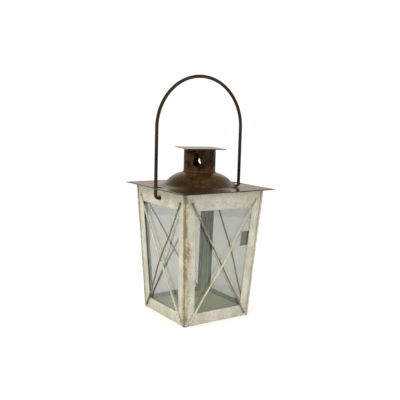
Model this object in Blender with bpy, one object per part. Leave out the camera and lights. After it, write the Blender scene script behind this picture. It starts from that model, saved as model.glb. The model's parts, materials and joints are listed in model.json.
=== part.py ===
# Candle lantern: a tapered sheet-steel body with four glass panes, a domed roof that lifts along
# the handle's legs, and a bail handle of bent wire. Metres, +Z up, origin at the centre of the base.
import math

import bmesh
import bpy

# Fits
GAP = 0.0003  # left between pieces that touch or are soldered together

# Body: a square frustum, measured over the outer faces of the corner angles
BODY_HEIGHT = 0.1676
BOTTOM_SIDE = 0.1006
TOP_SIDE = 0.1208

# Corner angles, folded strips lapped over the panels' edges
CORNER_WALL = 0.0006
CORNER_LEG = 0.0040
CORNER_RADIUS = 0.0012

# Panels: one sheet frame on each side
PANEL_WALL = 0.0009
STILE = 0.0155  # from the body's corner to the window
BOTTOM_RAIL = 0.0152
TOP_RAIL = 0.0216

# Floor tray
TRAY_WALL = 0.0008
TRAY_FLANGE = 0.0087

# Glass panes, which stand on the tray's flange
GLASS_WALL = 0.0020
GLASS_LAP = 0.0050  # behind each stile
GLASS_TOP_LAP = 0.0040

# Glass clips, one on each stile. One of them reaches out past its stile.
CLIP_WALL = 0.0006
CLIP_HEIGHT = 0.0190
CLIP_DROP = 0.0412  # from the window's top to the middle of a clip
CLIP_FOOT = 0.0036
CLIP_LAP = 0.0040  # over the pane, behind the stile
LONG_CLIP = ("front", "right")
LONG_CLIP_REACH = 0.0100  # past the window's edge

# Braces: two wires on each side, soldered at their ends
BRACE_WIRE = 0.0022
BRACE_LOW = 0.0042  # up the panel
BRACE_DROP = 0.0108  # down from the panel's top
BRACE_LOW_INSET = 0.0034  # from a corner angle's leg
BRACE_HIGH_INSET = 0.0061
BRACE_BOW = 0.0680  # half length of the bow that carries one brace over the other
BRACE_STEPS = 14

# Handle
HANDLE_WIRE = 0.0044
PIVOT_ABOVE_WINDOW = 0.0097
PIVOT_CLEARANCE = 0.0008  # all round the wire in its hook hole
LEG_STANDOFF = 0.0064  # from a panel's outer face to the middle of the leg, at the pivot
HOOK_BEND = 0.0050
HOOK_INSIDE = 0.0076  # from the panel's inner face to the middle of the upturned tip
TIP_BEND = 0.0040
TIP_RISE = 0.0015
LEG_SPARE = 0.0009  # straight leg left above the roof when it is fully up
CROWN_SPARE = 0.0020  # least room left between the raised cap and the arch
BEND_STEPS = 5
ARCH_STEPS = 30

# Roof plate with its pressed dome
EAVE = 0.0096
ROOF_WALL = 0.0012
DOME_LAND = 0.0005  # flat left between the dome's foot and a slot
DOME_FLARE = 0.0130  # from the bulge's widest radius to the dome's foot
DOME_BULGE = 0.0199
DOME_LIFT = 0.0008  # the bulge's centre above the plate
FLARE_START = math.radians(71)  # where the bulge turns into the flare
DOME_STEPS = 8
FLARE_STEPS = 6
ROUND_SIDES = 48  # a multiple of 8, so that the plate's corners fall on a side

# Motion that the slots make room for
ROOF_LIFT = 0.0735
HANDLE_SWING = math.radians(3)
SLOT_CLEARANCE = 0.00035
SLOT_INWARD = 0.0055  # free width of a slot on the leg's inner side
SLOT_RADIUS = 0.0025

# Chimney
CHIMNEY_RADIUS = 0.0207
CHIMNEY_WALL = 0.0008
CHIMNEY_HEIGHT = 0.0294
CHIMNEY_SINK = 0.0030  # how far the tube passes down through the dome
VENT_LOW_RADIUS = 0.0052
VENT_HIGH_RADIUS = 0.0018
VENT_LOW = 0.0124  # from the dome's crown to the middle of the low round
VENT_DROP = 0.0061  # from the tube's top to the middle of the high round
VENT_STEPS = 10

# Chimney cap
CAP_OVERHANG = 0.0058  # past the tube, at the middle of each edge
CAP_WALL = 0.0010
CAP_EDGE = 0.00025  # how much its edges are rounded
CAP_YAW = math.radians(-15)

# Derived places
TAPER = math.atan2((TOP_SIDE - BOTTOM_SIDE) / 2, BODY_HEIGHT)
SIN, COS = math.sin(TAPER), math.cos(TAPER)
PANEL_OUTER = CORNER_WALL + GAP  # depths behind the body's outer face
PANEL_INNER = PANEL_OUTER + PANEL_WALL
GLASS_OUTER = PANEL_INNER + GAP
GLASS_INNER = GLASS_OUTER + GLASS_WALL
PANEL_LENGTH = (BODY_HEIGHT - PANEL_INNER * SIN) / COS
WINDOW_TOP = PANEL_LENGTH - TOP_RAIL
PIVOT_HEIGHT = WINDOW_TOP * COS + PIVOT_ABOVE_WINDOW
CLIP_CENTRE = WINDOW_TOP - CLIP_DROP
BRACE_HIGH = PANEL_LENGTH - BRACE_DROP
HOOK_HOLE_RADIUS = HANDLE_WIRE / 2 + PIVOT_CLEARANCE
PANEL_AT_PIVOT = BOTTOM_SIDE / 2 + PIVOT_HEIGHT * math.tan(TAPER) - PANEL_OUTER / COS
LEG_X = PANEL_AT_PIVOT + LEG_STANDOFF
ROOF_SIDE = TOP_SIDE + 2 * EAVE
ROOF_UNDER = BODY_HEIGHT + GAP
ROOF_TOP = ROOF_UNDER + ROOF_WALL
SLOT_OUTER = LEG_X + HANDLE_WIRE / 2 + GAP
SLOT_INNER = LEG_X - HANDLE_WIRE / 2 - SLOT_INWARD
SLOT_HALF = (
    HANDLE_WIRE / 2 / math.cos(HANDLE_SWING)
    + math.tan(HANDLE_SWING) * (ROOF_TOP + ROOF_LIFT - PIVOT_HEIGHT)
    + SLOT_CLEARANCE
)
DOME_FOOT = SLOT_INNER - DOME_LAND
BULGE_RADIUS = DOME_FOOT - DOME_FLARE
BULGE_BASE = ROOF_TOP + DOME_LIFT
CHIMNEY_HOLE = CHIMNEY_RADIUS + GAP
CROWN = BULGE_BASE + DOME_BULGE * math.sqrt(1 - (CHIMNEY_HOLE / BULGE_RADIUS) ** 2)
VENT_HIGH = CHIMNEY_HEIGHT - VENT_DROP
CAP_HALF = CHIMNEY_RADIUS + CAP_OVERHANG
CAP_TOP = CROWN + CHIMNEY_HEIGHT + GAP + CAP_WALL
# The legs stay straight as far up as the raised roof reaches, and the arch clears the raised cap.
CAP_REACH = CAP_HALF / math.cos(CAP_YAW) + CROWN_SPARE
ARCH_OVER_CAP = math.sqrt((LEG_X - HANDLE_WIRE / 2) ** 2 - CAP_REACH**2)
SPRING_LINE = ROOF_LIFT + max(ROOF_TOP + LEG_SPARE, CAP_TOP + CROWN_SPARE - ARCH_OVER_CAP)

SIDES = ("front", "right", "back", "left")


def clear_scene():
    for obj in list(bpy.data.objects):
        bpy.data.objects.remove(obj, do_unlink=True)


def make_material(name, colour, roughness, metallic=0.0, transmission=0.0):
    material = bpy.data.materials.new(name)
    material.use_nodes = True
    shader = material.node_tree.nodes["Principled BSDF"]
    shader.inputs["Base Color"].default_value = (*colour, 1.0)
    shader.inputs["Roughness"].default_value = roughness
    shader.inputs["Metallic"].default_value = metallic
    shader.inputs["Transmission Weight"].default_value = transmission
    return material


def place(obj, material=None, parent=None):
    bpy.context.scene.collection.objects.link(obj)
    if material:
        obj.data.materials.append(material)
    if parent:
        obj.parent = parent
    return obj


def loft(name, rings, material=None, parent=None, ring_shape=False, smooth=False):
    """Joins rings of points, in order. A ring shape closes on its first ring, and others get two caps."""
    bm = bmesh.new()
    loops = [[bm.verts.new(point) for point in ring] for ring in rings]
    pairs = list(zip(loops, loops[1:]))
    if ring_shape:
        pairs.append((loops[-1], loops[0]))
    else:
        bm.faces.new(loops[0])
        bm.faces.new(loops[-1])
    for low, high in pairs:
        count = len(low)
        for i in range(count):
            j = (i + 1) % count
            bm.faces.new((low[i], low[j], high[j], high[i]))
    bmesh.ops.recalc_face_normals(bm, faces=bm.faces)
    mesh = bpy.data.meshes.new(name)
    bm.to_mesh(mesh)
    bm.free()
    if smooth:
        mesh.shade_smooth()
        mesh.set_sharp_from_angle(angle=math.radians(35))
    return place(bpy.data.objects.new(name, mesh), material, parent)


def wire(name, points, diameter, resolution, material, parent=None):
    """A round wire along a list of points, with closed ends."""
    curve = bpy.data.curves.new(name, "CURVE")
    curve.dimensions = "3D"
    curve.bevel_depth = diameter / 2
    curve.bevel_resolution = resolution
    curve.use_fill_caps = True
    spline = curve.splines.new("POLY")
    spline.points.add(len(points) - 1)
    for spot, point in zip(spline.points, points):
        spot.co = (*point, 1.0)
    spline.use_smooth = True
    return place(bpy.data.objects.new(name, curve), material, parent)


def cut(obj, cutter):
    cutter.hide_render = True
    cutter.display_type = "WIRE"
    boolean = obj.modifiers.new(cutter.name, "BOOLEAN")
    boolean.operation = "DIFFERENCE"
    boolean.object = cutter


def arc(centre, radius, start, end, steps):
    """Points of an arc in a plane, from one angle to another."""
    return [
        (centre[0] + radius * math.cos(angle), centre[1] + radius * math.sin(angle))
        for angle in (start + (end - start) * i / steps for i in range(steps + 1))
    ]


def circle(radius, height):
    points = arc((0, 0), radius, 0, math.tau, ROUND_SIDES)[:-1]
    return [(x, y, height) for x, y in points]


def square(half, height):
    return [(half, half, height), (-half, half, height), (-half, -half, height), (half, -half, height)]


def corner_u(length):
    """The body's corner, across a side, at this length up the panel."""
    return BOTTOM_SIDE / 2 + length * SIN


def inner_half(height, depth):
    """Half the width between opposite sides, at this depth behind their outer faces."""
    return BOTTOM_SIDE / 2 + height * math.tan(TAPER) - depth / COS


def trapezium(low, high, low_half, high_half, depth):
    return [(-low_half, depth, low), (low_half, depth, low), (high_half, depth, high), (-high_half, depth, high)]


def make_side_frame(index):
    """An empty on a side's bottom edge: X across the side, Y into the body, Z up the panel."""
    frame = bpy.data.objects.new(f"side_{SIDES[index]}", None)
    turn = index * math.pi / 2
    half = BOTTOM_SIDE / 2
    frame.location = (half * math.sin(turn), -half * math.cos(turn), 0)
    frame.rotation_euler = (TAPER, 0, turn)
    return place(frame)


def make_panel(side, frame, material):
    """A sheet frame whose ends are mitred to its neighbours, with a hook hole on the left and right."""

    def outline(depth):
        mitre = depth * COS + GAP / math.sqrt(2)
        return trapezium(0, PANEL_LENGTH, corner_u(0) - mitre, corner_u(PANEL_LENGTH) - mitre, depth)

    def window(depth):
        return trapezium(
            BOTTOM_RAIL, WINDOW_TOP, corner_u(BOTTOM_RAIL) - STILE, corner_u(WINDOW_TOP) - STILE, depth
        )

    rings = [outline(PANEL_OUTER), outline(PANEL_INNER), window(PANEL_INNER), window(PANEL_OUTER)]
    panel = loft(f"panel_{side}", rings, material, frame, ring_shape=True)
    if side in ("left", "right"):
        hole_up = (PIVOT_HEIGHT - PANEL_OUTER * SIN) / COS
        ends = [
            [(u, depth, up) for u, up in arc((0, hole_up), HOOK_HOLE_RADIUS, 0, math.tau, 24)[:-1]]
            for depth in (PANEL_OUTER - 2 * PANEL_WALL, PANEL_INNER + 2 * PANEL_WALL)
        ]
        cut(panel, loft(f"hook_hole_{side}", ends, parent=frame))


def make_glass(side, frame, material):
    low = (TRAY_FLANGE + GAP) / COS
    high = WINDOW_TOP + GLASS_TOP_LAP
    edge = STILE - GLASS_LAP
    rings = [
        trapezium(low, high, corner_u(low) - edge, corner_u(high) - edge, depth)
        for depth in (GLASS_OUTER, GLASS_INNER)
    ]
    loft(f"glass_{side}", rings, material, frame)


def make_clip(side, hand, frame, material):
    """A Z-shaped tab: a foot on the stile, a step past the pane's edge, and a tongue over the pane."""
    sign = 1 if hand == "right" else -1
    tongue = GLASS_INNER + GAP
    past_stile = -LONG_CLIP_REACH if (side, hand) == LONG_CLIP else GLASS_LAP - CLIP_LAP

    def section(up):
        pane = corner_u(up) - STILE + GLASS_LAP + GAP
        tip = corner_u(up) - STILE + past_stile
        foot = pane + CLIP_WALL + CLIP_FOOT
        outline = [
            (foot, GLASS_OUTER),
            (foot, GLASS_OUTER + CLIP_WALL),
            (pane + CLIP_WALL, GLASS_OUTER + CLIP_WALL),
            (pane + CLIP_WALL, tongue + CLIP_WALL),
            (tip, tongue + CLIP_WALL),
            (tip, tongue),
            (pane, tongue),
            (pane, GLASS_OUTER),
        ]
        return [(sign * u, depth, up) for u, depth in outline]

    rings = [section(CLIP_CENTRE - CLIP_HEIGHT / 2), section(CLIP_CENTRE + CLIP_HEIGHT / 2)]
    loft(f"clip_{side}_{hand}", rings, material, frame)


def make_braces(side, frame, material):
    """Brace a runs down to the right, flat on the panel. Brace b rises to the right and bows over it."""
    depth = PANEL_OUTER - GAP - BRACE_WIRE / 2
    low_u = corner_u(BRACE_LOW) - CORNER_LEG - BRACE_LOW_INSET
    high_u = corner_u(BRACE_HIGH) - CORNER_LEG - BRACE_HIGH_INSET
    wire(
        f"brace_{side}_a",
        [(low_u, depth, BRACE_LOW), (-high_u, depth, BRACE_HIGH)],
        BRACE_WIRE,
        2,
        material,
        frame,
    )
    length = math.hypot(low_u + high_u, BRACE_HIGH - BRACE_LOW)
    crossing = length * low_u / (low_u + high_u)
    stations = [crossing - BRACE_BOW + 2 * BRACE_BOW * i / BRACE_STEPS for i in range(BRACE_STEPS + 1)]
    points = []
    for station in [0, *stations, length]:
        share = station / length
        bow = max(0.0, 1 - abs(station - crossing) / BRACE_BOW)
        rise = (BRACE_WIRE + GAP) * (1 - math.cos(math.pi * bow)) / 2
        u = -low_u + (low_u + high_u) * share
        points.append((u, depth - rise, BRACE_LOW + (BRACE_HIGH - BRACE_LOW) * share))
    wire(f"brace_{side}_b", points, BRACE_WIRE, 2, material, frame)


def make_corner(index, material):
    """A folded angle that tapers with the body, made at the front right and turned into place."""
    names = ("front_right", "back_right", "back_left", "front_left")

    def section(height):
        outer = inner_half(height, 0)
        inner = inner_half(height, CORNER_WALL)
        leg = outer - CORNER_LEG
        fold = arc((outer - CORNER_RADIUS, CORNER_RADIUS - outer), CORNER_RADIUS, -math.pi / 2, 0, 4)
        points = [(leg, -outer), *fold, (outer, -leg), (inner, -leg), (inner, -inner), (leg, -inner)]
        return [(x, y, height) for x, y in points]

    corner = loft(f"corner_{names[index]}", [section(0), section(BODY_HEIGHT)], material)
    corner.rotation_euler.z = index * math.pi / 2


def make_tray(material):
    """The floor: a shallow pan whose sides lean with the body."""
    side = PANEL_INNER + GAP
    wall = side + TRAY_WALL
    rings = [
        square(inner_half(0, side), 0),
        square(inner_half(TRAY_FLANGE, side), TRAY_FLANGE),
        square(inner_half(TRAY_FLANGE, wall), TRAY_FLANGE),
        square(inner_half(TRAY_WALL, wall), TRAY_WALL),
    ]
    loft("floor_tray", rings, material)


def dome_profile():
    """(radius, height, outward tilt) down the dome's upper face, from inside the chimney hole to its foot."""
    first = math.asin((CHIMNEY_HOLE - 2 * ROOF_WALL) / BULGE_RADIUS)
    profile = []
    for i in range(DOME_STEPS + 1):
        angle = first + (FLARE_START - first) * i / DOME_STEPS
        radius = BULGE_RADIUS * math.sin(angle)
        height = BULGE_BASE + DOME_BULGE * math.cos(angle)
        tilt = math.atan2(DOME_BULGE * math.sin(angle), BULGE_RADIUS * math.cos(angle))
        profile.append((radius, height, tilt))
    # The flare is a quadratic curve from the bulge's tangent to the plate.
    start_r, start_z, tilt = profile[-1]
    turn_r = start_r + (start_z - ROOF_TOP) / math.tan(tilt)
    for i in range(1, FLARE_STEPS + 1):
        t = i / FLARE_STEPS
        radius = (1 - t) ** 2 * start_r + 2 * t * (1 - t) * turn_r + t**2 * DOME_FOOT
        height = (1 - t) ** 2 * start_z + (1 - (1 - t) ** 2) * ROOF_TOP
        across = (1 - t) * (turn_r - start_r) + t * (DOME_FOOT - turn_r)
        down = (1 - t) * (start_z - ROOF_TOP)
        profile.append((radius, height, math.atan2(down, across)))
    return profile


def make_roof(material):
    """Square plate and dome in one sheet, with a chimney hole and a slot for each handle leg."""

    def plate_edge(height):
        half = ROOF_SIDE / 2
        points = []
        for x, y, _ in circle(1, 0):
            reach = half / max(abs(x), abs(y))
            points.append((x * reach, y * reach, height))
        return points

    profile = dome_profile()
    upper = [circle(radius, height) for radius, height, _ in profile]
    lower = [
        circle(radius - ROOF_WALL * math.sin(tilt), height - ROOF_WALL * math.cos(tilt))
        for radius, height, tilt in reversed(profile)
    ]
    rings = [*upper, plate_edge(ROOF_TOP), plate_edge(ROOF_UNDER), *lower]
    seated = [[(x, y, z - ROOF_UNDER) for x, y, z in ring] for ring in rings]
    roof = loft("roof_plate", seated, material, ring_shape=True, smooth=True)
    roof.location.z = ROOF_UNDER
    hole = [circle(CHIMNEY_HOLE, height) for height in (ROOF_WALL, CROWN + DOME_BULGE - ROOF_UNDER)]
    cut(roof, loft("chimney_hole", hole, parent=roof))
    for sign, name in ((1, "right"), (-1, "left")):
        across = (SLOT_OUTER - SLOT_INNER) / 2 - SLOT_RADIUS
        along = SLOT_HALF - SLOT_RADIUS
        outline = []
        for quarter, (x, y) in enumerate(((1, 1), (-1, 1), (-1, -1), (1, -1))):
            start = quarter * math.pi / 2
            outline += arc((x * across, y * along), SLOT_RADIUS, start, start + math.pi / 2, 4)
        ends = [[(x, y, height) for x, y in outline] for height in (-ROOF_WALL, 2 * ROOF_WALL)]
        slot = loft(f"handle_slot_{name}", ends, parent=roof)
        slot.location.x = sign * (SLOT_OUTER + SLOT_INNER) / 2
        cut(roof, slot)
    return roof


def make_chimney(roof, material):
    """A tube with four teardrop vents that face the roof's corners. Its origin is at the dome's crown."""
    outer, inner = CHIMNEY_RADIUS, CHIMNEY_RADIUS - CHIMNEY_WALL
    rings = [
        circle(outer, -CHIMNEY_SINK),
        circle(outer, CHIMNEY_HEIGHT),
        circle(inner, CHIMNEY_HEIGHT),
        circle(inner, -CHIMNEY_SINK),
    ]
    chimney = loft("chimney", rings, material, roof, ring_shape=True, smooth=True)
    chimney.location.z = CROWN - ROOF_UNDER
    # Each vent's outline is two rounds and the straight sides that touch both.
    lean = math.asin((VENT_LOW_RADIUS - VENT_HIGH_RADIUS) / (VENT_HIGH - VENT_LOW))
    outline = arc((0, VENT_HIGH), VENT_HIGH_RADIUS, lean, math.pi - lean, VENT_STEPS // 2)
    outline += arc((0, VENT_LOW), VENT_LOW_RADIUS, math.pi - lean, math.tau + lean, VENT_STEPS)
    reach = outer + 3 * CHIMNEY_WALL
    for index in range(2):
        ends = [[(u, end, height) for u, height in outline] for end in (-reach, reach)]
        vents = loft(f"vent_pair_{index + 1}", ends, parent=chimney)
        vents.rotation_euler.z = math.pi / 4 + index * math.pi / 2
        cut(chimney, vents)
    return chimney


def make_cap(chimney, material):
    rings = [square(CAP_HALF, height) for height in (0, CAP_WALL)]
    cap = loft("chimney_cap", rings, material, chimney)
    cap.location.z = CHIMNEY_HEIGHT + GAP
    cap.rotation_euler.z = CAP_YAW
    rounding = cap.modifiers.new("edges", "BEVEL")
    rounding.width = CAP_EDGE
    rounding.segments = 2


def make_handle(material):
    """One wire, bent about the hinge line through both hook holes, where its origin lies."""
    tip_x = PANEL_AT_PIVOT - PANEL_WALL / COS - HOOK_INSIDE
    spring = SPRING_LINE - PIVOT_HEIGHT
    half = [(tip_x, TIP_BEND + TIP_RISE)]
    half += arc((tip_x + TIP_BEND, TIP_BEND), TIP_BEND, math.pi, 1.5 * math.pi, BEND_STEPS)
    half += arc((LEG_X - HOOK_BEND, HOOK_BEND), HOOK_BEND, 1.5 * math.pi, math.tau, BEND_STEPS)
    arch = arc((0, spring), LEG_X, 0, math.pi, ARCH_STEPS)
    outline = half + arch + [(-x, z) for x, z in reversed(half)]
    handle = wire("handle_wire", [(x, 0, z) for x, z in outline], HANDLE_WIRE, 4, material)
    handle.location.z = PIVOT_HEIGHT


def main():
    clear_scene()
    cream = make_material("cream_paint", (0.62, 0.58, 0.45), 0.55)
    rubbed = make_material("rubbed_paint", (0.33, 0.26, 0.15), 0.6)
    brace_paint = make_material("brace_paint", (0.52, 0.46, 0.31), 0.55)
    tray_paint = make_material("tray_paint", (0.32, 0.34, 0.24), 0.5)
    tin = make_material("tinned_clip", (0.25, 0.28, 0.20), 0.45, metallic=0.6)
    glass = make_material("float_glass", (0.86, 0.92, 0.88), 0.03, transmission=1.0)
    roof_bronze = make_material("bronze_roof", (0.10, 0.06, 0.035), 0.25, metallic=0.8)
    chimney_bronze = make_material("bronze_chimney", (0.08, 0.045, 0.025), 0.3, metallic=0.8)
    cap_bronze = make_material("bronze_cap", (0.12, 0.085, 0.06), 0.25, metallic=0.8)
    handle_bronze = make_material("bronze_wire", (0.07, 0.045, 0.025), 0.35, metallic=0.8)
    make_tray(tray_paint)
    for index, side in enumerate(SIDES):
        frame = make_side_frame(index)
        make_panel(side, frame, cream)
        make_corner(index, rubbed)
        make_glass(side, frame, glass)
        make_braces(side, frame, brace_paint)
        for hand in ("left", "right"):
            make_clip(side, hand, frame, tin)
    roof = make_roof(roof_bronze)
    chimney = make_chimney(roof, chimney_bronze)
    make_cap(chimney, cap_bronze)
    make_handle(handle_bronze)


main()
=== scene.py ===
# Candle lantern: the looks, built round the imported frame. Metres, +Z up.
import bisect
import json
import math

import bmesh
import bpy
from mathutils import Matrix, Vector, noise


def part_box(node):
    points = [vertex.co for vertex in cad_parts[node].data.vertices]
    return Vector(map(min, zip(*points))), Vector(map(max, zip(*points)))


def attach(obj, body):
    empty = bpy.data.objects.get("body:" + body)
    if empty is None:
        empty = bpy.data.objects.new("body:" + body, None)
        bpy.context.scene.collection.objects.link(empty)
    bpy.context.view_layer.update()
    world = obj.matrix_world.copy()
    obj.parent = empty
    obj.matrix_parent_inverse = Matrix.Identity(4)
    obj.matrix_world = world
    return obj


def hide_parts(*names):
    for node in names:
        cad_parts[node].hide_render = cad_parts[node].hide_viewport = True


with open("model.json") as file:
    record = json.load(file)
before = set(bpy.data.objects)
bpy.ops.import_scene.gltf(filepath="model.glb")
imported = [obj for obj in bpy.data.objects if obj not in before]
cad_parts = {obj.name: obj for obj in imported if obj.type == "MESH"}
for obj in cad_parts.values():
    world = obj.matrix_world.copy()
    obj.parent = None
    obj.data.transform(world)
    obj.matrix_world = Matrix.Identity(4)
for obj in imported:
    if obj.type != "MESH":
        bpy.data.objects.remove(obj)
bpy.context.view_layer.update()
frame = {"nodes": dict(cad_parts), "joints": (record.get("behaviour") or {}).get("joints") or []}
sideNames = ("front", "right", "back", "left")
hair = 1e-5   # points closer than this count as level
print("frame loaded:", len(frame["nodes"]), "nodes")


# ---- reading the frame

def nodePoints(name):
    return [vertex.co.copy() for vertex in frame["nodes"][name].data.vertices]


cornerPoints = nodePoints("corner_front_right")
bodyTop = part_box("corner_front_right")[1].z
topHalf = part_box("corner_front_right")[1].x
bottomHalf = max(p.x for p in cornerPoints if p.z < hair)
taper = math.atan2(topHalf - bottomHalf, bodyTop)
pivotHeight = next(j["pos_m"][2] for j in frame["joints"] if j["type"] == "hinge")


def turned(index):
    return Matrix.Rotation(index * math.pi / 2, 4, "Z")


def sideMatrix(index):
    # X across the side as seen from outside, Y into the body, Z up the leaning panel
    edge = Matrix.Translation((0, -bottomHalf, 0))
    return turned(index) @ edge @ Matrix.Rotation(taper, 4, "X")


def sidePoints(name, index):
    inverse = sideMatrix(index).inverted()
    return [inverse @ p for p in nodePoints(name)]


def cornerAt(up):
    return bottomHalf + up * math.sin(taper)


# ---- making meshes

def smoothNoise(point, size, seed=0.0):
    # -1 to 1, with bumps of about this size
    return noise.noise(Vector(point) / size + Vector((seed, seed * 1.7, -seed)))


def fade(distance, reach):
    # 1 at the edge and behind it, dying away over about this reach
    return math.exp(-max(0.0, distance) / reach)


def hump(distance, width):
    # 1 in the middle, dying away on both sides
    return math.exp(-((distance / width) ** 2))


def spread(low, high, count):
    return [low + (high - low) * i / count for i in range(count + 1)]


def arc(centre, radius, start, end, steps):
    return [
        (centre[0] + radius * math.cos(a), centre[1] + radius * math.sin(a))
        for a in spread(start, end, steps)
    ]


def meshFrom(name, points, faces):
    bm = bmesh.new()
    made = [bm.verts.new(p) for p in points]
    for face in faces:
        bm.faces.new([made[i] for i in face])
    bmesh.ops.recalc_face_normals(bm, faces=bm.faces)
    mesh = bpy.data.meshes.new(name)
    bm.to_mesh(mesh)
    bm.free()
    return mesh


def ringMesh(name, rings, closed=False):
    # skins rings of points; a closed one runs on to its first ring, others get flat ends
    count = len(rings[0])
    points = [p for ring in rings for p in ring]
    faces = []
    for r in range(len(rings) if closed else len(rings) - 1):
        low, high = r * count, (r + 1) % len(rings) * count
        for i in range(count):
            j = (i + 1) % count
            faces.append((low + i, low + j, high + j, high + i))
    if not closed:
        faces += [range(count), range(len(points) - count, len(points))]
    return meshFrom(name, points, faces)


def applyModifiers(obj):
    graph = bpy.context.evaluated_depsgraph_get()
    finished = bpy.data.meshes.new_from_object(obj.evaluated_get(graph))
    obj.modifiers.clear()
    old, obj.data = obj.data, finished
    bpy.data.meshes.remove(old)


def placeObject(name, mesh, matrix=None):
    obj = bpy.data.objects.new(name, mesh)
    bpy.context.scene.collection.objects.link(obj)
    obj.matrix_world = matrix or Matrix.Identity(4)
    return obj


cutClear = 0.003   # how far a cutter reaches past the sheet on each side


def cutFrom(obj, cutters):
    for mesh, matrix in cutters:
        cutter = placeObject("cutter", mesh, matrix)
        boolean = obj.modifiers.new("cut", "BOOLEAN")
        boolean.operation = "DIFFERENCE"
        boolean.solver = "EXACT"
        boolean.object = cutter
        bpy.context.view_layer.update()
        applyModifiers(obj)
        bpy.data.objects.remove(cutter, do_unlink=True)


def roundEdges(obj, width, angle=50, segments=2):
    bevel = obj.modifiers.new("edges", "BEVEL")
    bevel.width = width
    bevel.segments = segments
    bevel.limit_method = "ANGLE"
    bevel.angle_limit = math.radians(angle)
    bevel.use_clamp_overlap = True
    applyModifiers(obj)


def finishPiece(obj, material, body, nodes, wearAndShade=None, seed=0.0, inside=None, sharp=45):
    # grain holds the patterns' coordinates, so that no two pieces are marked alike; the rub value says where
    # the finish wears and where shade is painted on, and inside where the sheet looks into the lantern
    mesh = obj.data
    mesh.shade_smooth()
    mesh.set_sharp_from_angle(angle=math.radians(sharp))
    offset = Vector((seed * 0.37, seed * 0.53, seed * 0.71))
    places = [n for v in mesh.vertices for n in v.co + offset]
    mesh.attributes.new("grain", "FLOAT_VECTOR", "POINT").data.foreach_set("vector", places)
    for label, rule in (("wearAndShade", wearAndShade), ("inside", inside)):
        values = [rule(v.co) if rule else 0.0 for v in mesh.vertices]
        mesh.attributes.new(label, "FLOAT", "POINT").data.foreach_set("value", values)
    mesh.materials.clear()
    mesh.materials.append(material)
    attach(obj, body)
    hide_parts(*nodes)


# ---- materials

def hexColour(code):
    parts = [int(code[i : i + 2], 16) / 255 for i in (1, 3, 5)]
    return [*(p / 12.92 if p <= 0.04045 else ((p + 0.055) / 1.055) ** 2.4 for p in parts), 1.0]


def perMetre(millimetres):
    return 1000 / millimetres


def addNode(tree, kind, inputs=None, **settings):
    # an input is a plain value, a hex colour, a socket, or a node, whose first open output is then linked
    made = tree.nodes.new("ShaderNode" + kind)
    for key, value in settings.items():
        setattr(made, key, value)
    for key, value in (inputs or {}).items():
        if isinstance(value, str):
            value = hexColour(value)
        if isinstance(value, bpy.types.Node):
            value = next(socket for socket in value.outputs if socket.enabled)
        if isinstance(value, bpy.types.NodeSocket):
            tree.links.new(value, made.inputs[key])
        else:
            made.inputs[key].default_value = value
    return made


def newMaterial(name):
    material = bpy.data.materials.new(name)
    material.use_nodes = True
    tree = material.node_tree
    tree.nodes.clear()
    return material, tree


def addOutput(tree, shader):
    addNode(tree, "OutputMaterial", {"Surface": shader})


chalkPaint = {
    "cream": "#c9c6b4",
    "shadowCream": "#b1ad99",
    # inside faces: the cream painted lighter and greener, for the light that reaches them through the panes
    "insideCreamPaneLight": "#c3d2b3",
    "grime": "#93886c",
    "wornAndShadeBrown": "#958968",
    "bareSteel": "#5f5640",
    "patch": 16.0,       # mm, cloudy change of tone
    "stroke": 1.3,       # mm, width of a brush mark; real bristle marks are finer, and would not show
    "strokeStretch": 14,
    "speck": 1.6,        # mm, chips where the sanding caught
    "grimeSize": 3.0,    # mm, stain held in the paint's pores; coarser than real
    "grimeShare": 0.60,
    "threshold": 0.60,   # lower rubs more away
    "roughness": 0.52,
}


def drawnOut(tree, grain, width, stretch, detail):
    # noise drawn out along the grain, as a brush or a rag leaves it
    across = perMetre(width)
    space = addNode(tree, "Mapping", {"Vector": grain, "Scale": (across, across, across / stretch)})
    return addNode(tree, "TexNoise", {"Vector": space, "Scale": 1.0, "Detail": detail})


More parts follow.
